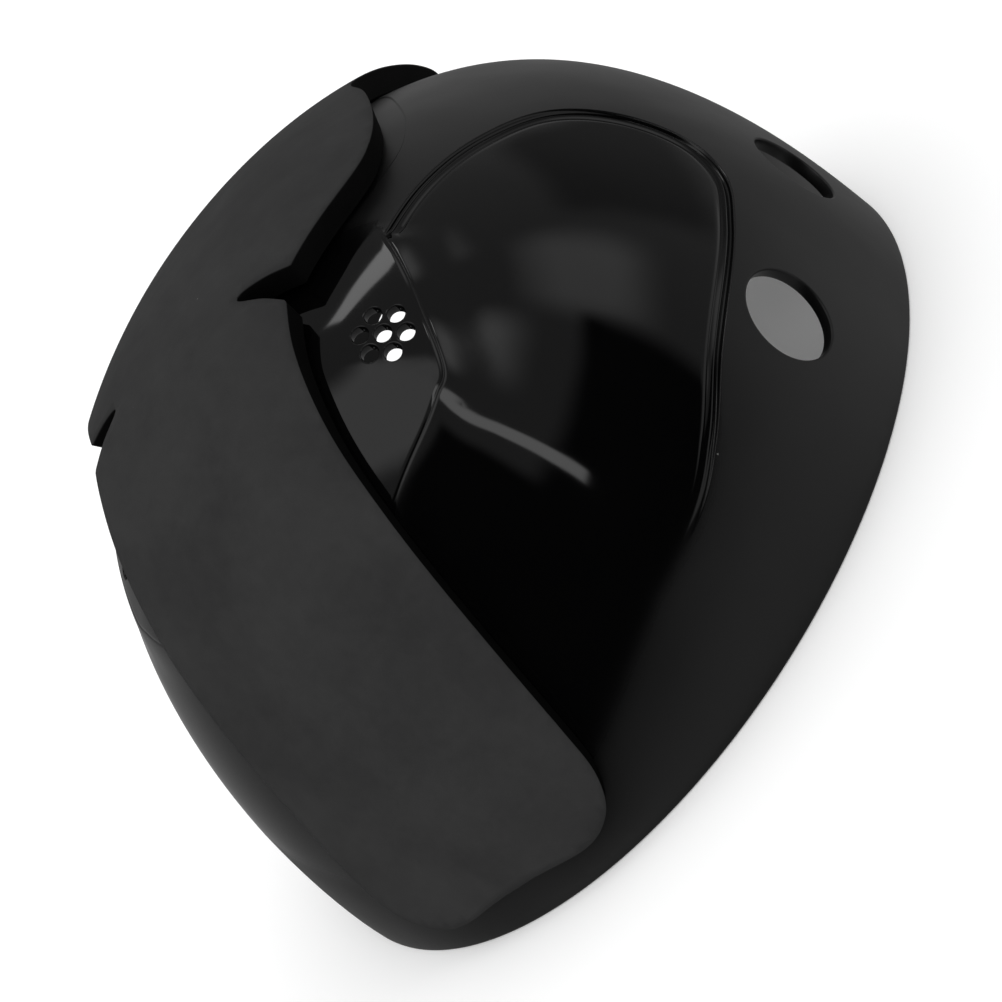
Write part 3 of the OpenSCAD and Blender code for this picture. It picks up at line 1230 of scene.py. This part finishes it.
@dataclass
class FoamPad:
    """One flat foam pad that lies on the dome or against its inside.

    Its edge is square: see the note in build. The painted shade of its side wall starts
    edge_round below the top.
    """

    name: str
    node: str
    stock: SheetStock
    thickness: float
    edge_round: float = 0.4 * MM
    spacing: float = 1.2
    fill_gap: float = 0.5
    top_rings: int = 5
    bottom_rings: int = 4
    side_shares: tuple = (0.66, 0.33)

    def outline(self) -> np.ndarray:
        """The pad's closed outline, counter-clockwise."""
        raise NotImplementedError

    def low(self, points: np.ndarray) -> np.ndarray:
        """What the pad's lower face grows by at chart points."""
        raise NotImplementedError

    def high(self, points: np.ndarray) -> np.ndarray:
        """What the pad's upper face grows by at chart points."""
        return self.low(points) + self.thickness

    def build(self) -> bpy.types.Object:
        """Builds the pad, still flat."""
        sheet = FlatSheet()
        edge = self.outline()
        # edge_round is in metres and the factor is for millimetres, so this is a thousandth
        # of a 0.4 mm rounding, and the edge comes out square
        rounding = self.edge_round * DEGREES_PER_MM
        rings = []
        # The points' values are painted shade: 0 on the top, rising over the top rounding to 1 on
        # the side wall and the lower rounding
        for angle in np.linspace(0.0, math.pi / 2, self.top_rings):
            ring = inward(edge, rounding * (1 - math.sin(angle)))
            grow = self.high(ring) - self.edge_round * (1 - math.cos(angle))
            rings.append(sheet.add(np.column_stack([ring, grow]), math.sin(angle) ** 2))
        for share in self.side_shares:
            low = self.low(edge) + self.edge_round
            top = self.high(edge) - self.edge_round
            rings.append(sheet.add(np.column_stack([edge, low + share * (top - low)]), 1.0))
        for angle in np.linspace(math.pi / 2, 0.0, self.bottom_rings):
            ring = inward(edge, rounding * (1 - math.sin(angle)))
            grow = self.low(ring) + self.edge_round * (1 - math.cos(angle))
            rings.append(sheet.add(np.column_stack([ring, grow]), 1.0))
        for upper, lower in zip(rings, rings[1:]):
            sheet.strip(upper, lower)
        for ring, face, faces_out in ((rings[0], self.high, True), (rings[-1], self.low, False)):
            border = np.vstack(sheet.points)[ring, :2]
            reach = float(np.hypot(*border.T).max())
            fill = kept_apart([(spread(reach, self.spacing), self.fill_gap)], border)
            fill = fill[is_inside(fill, border)]
            indices = sheet.add(np.column_stack([fill, face(fill)]), 0.0)
            sheet.skin([ring], indices, faces_out)
        return sheet.build(self.name, WALL_SHADE)

    def dress(self, bender: DomeBender, finish: bpy.types.Material) -> bpy.types.Object:
        """Args:
            bender: The tree that bends it onto the dome.
            finish: Its material.

        Returns:
            The finished piece.
        """
        piece = self.build()
        bender.bend(piece, finish)
        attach(piece, BODY)
        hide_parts(self.node)
        return piece


@dataclass
class OuterPad(FoamPad):
    """The long pad over front and crown, with a notch on each side that lets it bend."""

    gap: float = 0.3 * MM
    lift: float = 0.8 * MM
    lift_middle: float = -10.0
    lift_spread: float = 22.0
    press_start: float = -66.0
    press_end: float = -90.0
    pressed_share: float = 0.9
    outline_spacing: float = 0.45
    rear_edge: tuple = (
        (0, 53.4), (5.5, 52.8), (9.6, 49.5), (11.6, 44), (12.8, 36), (14, 28),
        (16.6, 22.4), (21.6, 16), (25.6, 8), (27, 1), (25.6, -5), (19.3, -14.8),
    )
    notch: tuple = ((19.3, -14.8), (15.8, -14.6), (12.4, -15.0), (12.0, -15.9),
                    (15.5, -17.3), (18.5, -18.9))
    front_edge: tuple = (
        (18.5, -18.9), (18.4, -25), (19.4, -34), (21.4, -44), (24.1, -58),
        (26.1, -71), (26.0, -77), (22.5, -81.7), (15, -84.6), (0, -85.2),
    )

    def outline(self) -> np.ndarray:
        """The pad's closed outline, counter-clockwise."""
        parts = [curve_through(part) for part in (self.rear_edge, self.notch, self.front_edge)]
        right = np.vstack([parts[0][:-1], parts[1][:-1], parts[2]])
        left = right[1:-1] * [-1.0, 1.0]
        return respaced(np.vstack([right[::-1], left]), self.outline_spacing)

    def low(self, points: np.ndarray) -> np.ndarray:
        """The lower face: on its film, lifting at the sides beside the notches."""
        edge = np.vstack([curve_through(self.rear_edge), curve_through(self.front_edge)])
        half = np.interp(-points[:, 1], -edge[:, 1], edge[:, 0])
        share = np.clip(np.abs(points[:, 0]) / np.maximum(half, 1.0), 0.0, 1.0)
        reach = np.exp(-((points[:, 1] - self.lift_middle) / self.lift_spread) ** 2)
        return self.gap + self.lift * share**3 * reach

    def high(self, points: np.ndarray) -> np.ndarray:
        """The upper face: level over the lower one, pressed thin at the front end."""
        past = np.maximum(0.0, self.press_start - points[:, 1])
        share = past / (self.press_start - self.press_end)
        return self.low(points) + self.thickness * (1 - self.pressed_share * share**2)


@dataclass
class Cushion(FoamPad):
    """One rounded cushion pad glued against the inside of the wall."""

    middle: tuple = (0.0, 0.0)
    half_across: float = 10.0
    half_along: float = 10.0
    wall: float = WALL
    gap: float = 0.3 * MM
    corner_power: int = 4
    outline_spacing: float = 0.9

    def outline(self) -> np.ndarray:
        """A superellipse round the cushion's middle, counter-clockwise."""
        angle = np.linspace(0.0, 2 * math.pi, 240, endpoint=False)
        x, y = np.cos(angle), np.sin(angle)
        scale = (x**self.corner_power + y**self.corner_power) ** (-1 / self.corner_power)
        loop = np.column_stack([x * scale * self.half_across, y * scale * self.half_along])
        return respaced(loop + np.array(self.middle), self.outline_spacing)

    def low(self, points: np.ndarray) -> np.ndarray:
        """The face towards the head."""
        return np.full(len(points), -self.wall - self.gap - self.thickness)


@dataclass
class Film(Cushion):
    """One adhesive film, with its lower face at an even level over the dome."""

    level: float = 0.0

    def low(self, points: np.ndarray) -> np.ndarray:
        """The film's lower face."""
        return np.full(len(points), self.level)


# ---------------------------------------------------------------- the studio


@dataclass
class Camera:
    """Where the camera stands and how it is turned."""

    target: Vector
    distance: float = 0.46645
    azimuth: float = -54.97
    elevation: float = 21.21
    roll: float = -51.74
    lens: float = 85.3

    def direction(self) -> Vector:
        """The direction from the target to the camera."""
        a, e = math.radians(self.azimuth), math.radians(self.elevation)
        return Vector((math.cos(e) * math.cos(a), math.cos(e) * math.sin(a), math.sin(e)))

    def make(self) -> bpy.types.Object:
        """Makes the camera and returns it."""
        data = bpy.data.cameras.new("camera")
        data.lens = self.lens
        camera = bpy.data.objects.new("camera", data)
        bpy.context.scene.collection.objects.link(camera)
        back = self.direction()
        right = Vector((0, 0, 1)).cross(back).normalized()
        upward = back.cross(right)
        c, s = math.cos(math.radians(self.roll)), math.sin(math.radians(self.roll))
        turned_right, turned_up = c * right + s * upward, -s * right + c * upward
        camera.matrix_world = Matrix((
            (turned_right.x, turned_up.x, back.x, 0),
            (turned_right.y, turned_up.y, back.y, 0),
            (turned_right.z, turned_up.z, back.z, 0),
            (0, 0, 0, 1),
        ))
        camera.location = self.target + self.distance * back
        bpy.context.scene.camera = camera
        return camera


@dataclass(frozen=True)
class Card:
    """One pale or dark card of the light tent, upright and seen only in the gloss.

    The angles are in degrees, as seen from the object.
    """

    azimuth: float
    elevation: float
    half_width: float
    half_height: float
    blur: float
    glow: float

    def share(self, sheet: ShaderSheet, towards: bpy.types.NodeSocket,
              height: bpy.types.NodeSocket) -> bpy.types.NodeSocket:
        """How much of a direction the card covers.

        Args:
            sheet: The world's sheet.
            towards: The direction that is looked in.
            height: The elevation of that direction.

        Returns:
            A socket from 0 beside the card to 1 on it.
        """
        turn = math.radians(self.azimuth)
        parts = []
        ahead = Vector((math.cos(turn), math.sin(turn), 0.0))
        for axis in (ahead, Vector((-ahead.y, ahead.x, 0.0))):
            dot = sheet.tree.nodes.new("ShaderNodeVectorMath")
            dot.operation = "DOT_PRODUCT"
            sheet.tree.links.new(towards, dot.inputs[0])
            dot.inputs[1].default_value = axis
            parts.append(dot.outputs["Value"])
        aside = sheet.do("DEGREES", sheet.do("ARCTAN2", parts[1], parts[0]))
        beside = sheet.do("ABSOLUTE", aside)
        above = sheet.do("ABSOLUTE", sheet.do("SUBTRACT", height, self.elevation))
        across = sheet.ramp(beside, self.half_width + self.blur, self.half_width)
        return sheet.do("MULTIPLY", across,
                        sheet.ramp(above, self.half_height + self.blur, self.half_height))


@dataclass
class Studio:
    """A pale light tent. Its gloss light is dimmer, with dark and bright cards in it."""

    soft_light: float = 1.25
    gloss_light: float = 0.2
    floor_tone: float = 0.85
    floor_glow: float = 0.13
    floor_size: float = 8.0
    # Each card covers the ones before it: broad pale ones, then dark ones, then small lamps
    cards: tuple = (
        Card(152, -6, 34, 16, 22, 0.24),
        Card(96, 4, 14, 14, 14, 0.3),
        Card(-35, -20, 92, 9, 7, 0.4),
        Card(-70, 64, 40, 9, 8, 0.8),
        Card(24, 24, 6, 4, 13, 0.6),
        Card(62, 12, 12, 9, 8, 0.1),
        Card(-50, 10, 58, 12, 6, 0.0),
        Card(-72, 25, 26, 11, 6, 0.0),
        Card(46, 56, 4, 1, 12, 0.7),
        Card(-6, 46, 4, 1, 13, 0.85),
        Card(-4, 60, 4, 1.6, 1.5, 2.4),
        Card(68, 68, 6, 9, 1.5, 2.4),
        Card(-33, 34, 1.5, 15, 1, 1.7),
    )

    def world(self) -> None:
        """Lights the world: even for soft light, with the cards for the gloss."""
        world = bpy.data.worlds.new("light_tent")
        world.use_nodes = True
        bpy.context.scene.world = world
        sheet = ShaderSheet(world.node_tree)
        links = sheet.tree.links
        towards = sheet.node("ShaderNodeTexCoord").outputs["Generated"]
        split = sheet.node("ShaderNodeSeparateXYZ", Vector=towards)
        height = sheet.do("DEGREES", sheet.do("ARCSINE", split.outputs["Z"]))
        glow: bpy.types.NodeSocket | float = self.gloss_light
        for card in self.cards:
            share = card.share(sheet, towards, height)
            rest = sheet.do("MULTIPLY", glow, sheet.do("SUBTRACT", 1.0, share))
            glow = sheet.do("MULTIPLY_ADD", share, card.glow, rest)
        in_gloss = sheet.node("ShaderNodeLightPath").outputs["Is Glossy Ray"]
        plain = sheet.do("MULTIPLY", self.soft_light, sheet.do("SUBTRACT", 1.0, in_gloss))
        strength = sheet.do("MULTIPLY_ADD", in_gloss, glow, plain)
        background = world.node_tree.nodes["Background"]
        links.new(strength, background.inputs["Strength"])
        background.inputs["Color"].default_value = (1.0, 1.0, 1.0, 1.0)

    def floor(self) -> None:
        """Makes the pale floor, which the gloss doesn't see."""
        half = self.floor_size / 2
        mesh = bpy.data.meshes.new("floor")
        corners = [(-half, -half, 0), (half, -half, 0), (half, half, 0), (-half, half, 0)]
        mesh.from_pydata(corners, [], [(0, 1, 2, 3)])
        floor = bpy.data.objects.new("floor", mesh)
        bpy.context.scene.collection.objects.link(floor)
        floor.visible_glossy = False
        material = bpy.data.materials.new("pale_floor")
        material.use_nodes = True
        principled = material.node_tree.nodes["Principled BSDF"]
        principled.inputs["Base Color"].default_value = (*[self.floor_tone] * 3, 1.0)
        principled.inputs["Roughness"].default_value = 1.0
        principled.inputs["Emission Color"].default_value = (1.0, 1.0, 1.0, 1.0)
        principled.inputs["Emission Strength"].default_value = self.floor_glow
        mesh.materials.append(material)


# ---------------------------------------------------------------- assembly


def dome_from_frame() -> Dome:
    """Takes the head shape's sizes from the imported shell.

    Returns:
        The dome that every piece lies on.
    """
    low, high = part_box("shell")
    return Dome((high.x - low.x) / 2, (high.y - low.y) / 2, high.z - low.z)


# Where the camera aims, from the middle of the object's box
AIM_OFFSET = Vector((0.0, -12.8, -25.8)) * MM
OUTER_THICKNESS = 5 * MM
CUSHION_THICKNESS = 4 * MM
CUSHION_SPACING = 1.8
# The outer film's middle in the chart, and half of its size across and along
OUTER_FILM_PLACE = ((0.0, -44.0), 14.5, 33.0)
# The same for each cushion
CUSHION_PLACES = {
    "forehead": ((0, -64), 30, 10.7),
    "crown": ((0, 4), 17, 19.4),
    "nape": ((0, 60), 20, 10.7),
    "left": ((48, 6), 12, 16.5),
    "right": ((-48, 6), 12, 16.5),
}


def cushions() -> list[Cushion]:
    """The five cushion pads.

    Returns:
        One cushion for each inner pad of the frame.
    """
    return [
        Cushion(f"{name}_cushion", f"{name}_pad", SheetStock.INNER, CUSHION_THICKNESS,
                middle=middle, half_across=across, half_along=along, spacing=CUSHION_SPACING)
        for name, (middle, across, along) in CUSHION_PLACES.items()
    ]


def films(thickness: float = 0.2 * MM, air: float = 0.05 * MM,
          share: float = 0.82) -> list[Film]:
    """The adhesive films: one under the outer pad and one behind each cushion.

    Args:
        thickness: The thickness of a film.
        air: The clearance between a film and the piece under it.
        share: The size of an inner film as a share of its cushion.

    Returns:
        One film for each film node of the frame.
    """
    places = {"outer": (*OUTER_FILM_PLACE, air)}
    for name, (middle, across, along) in CUSHION_PLACES.items():
        places[name] = (middle, across * share, along * share, -WALL - air - thickness)
    return [
        Film(f"{name}_adhesive", f"{name}_film", SheetStock.FILM, thickness,
             edge_round=thickness / 4, spacing=CUSHION_SPACING, middle=middle,
             half_across=across, half_along=along, level=level)
        for name, (middle, across, along, level) in places.items()
    ]


def main() -> None:
    """Builds the insert and the studio round it."""
    logging.basicConfig(level=logging.INFO, format="%(message)s")
    bpy.context.scene.view_settings.view_transform = "Standard"
    low, high = CAD_BOX
    Camera((low + high) / 2 + AIM_OFFSET).make()
    studio = Studio()
    studio.world()
    studio.floor()
    groups = EffectGroups()
    dome = dome_from_frame()
    bender = DomeBender(dome)
    shell = Shell(dome).dress(bender, MouldedPlastic("moulded_plastic", groups).make())
    LOG.info("%s: %d faces", shell.name, len(shell.data.polygons))
    outer_pad = OuterPad("outer_foam_pad", "outer_pad", SheetStock.OUTER, OUTER_THICKNESS)
    outer_foam = ClosedCellFoam("outer_pad_foam", groups).make()
    # The cushions get a lighter painted shade on their side walls
    inner_foam = ClosedCellFoam("cushion_foam", groups, albedo=0.06, wall_shade_share=0.8).make()
    adhesive = AdhesiveFilm("adhesive_film", groups).make()
    laid = [(outer_pad, outer_foam)]
    laid += [(cushion, inner_foam) for cushion in cushions()]
    laid += [(film, adhesive) for film in films()]
    for pad, finish in laid:
        piece = pad.dress(bender, finish)
        LOG.info("%s: %d faces", piece.name, len(piece.data.polygons))


if __name__ == "__main__":
    main()
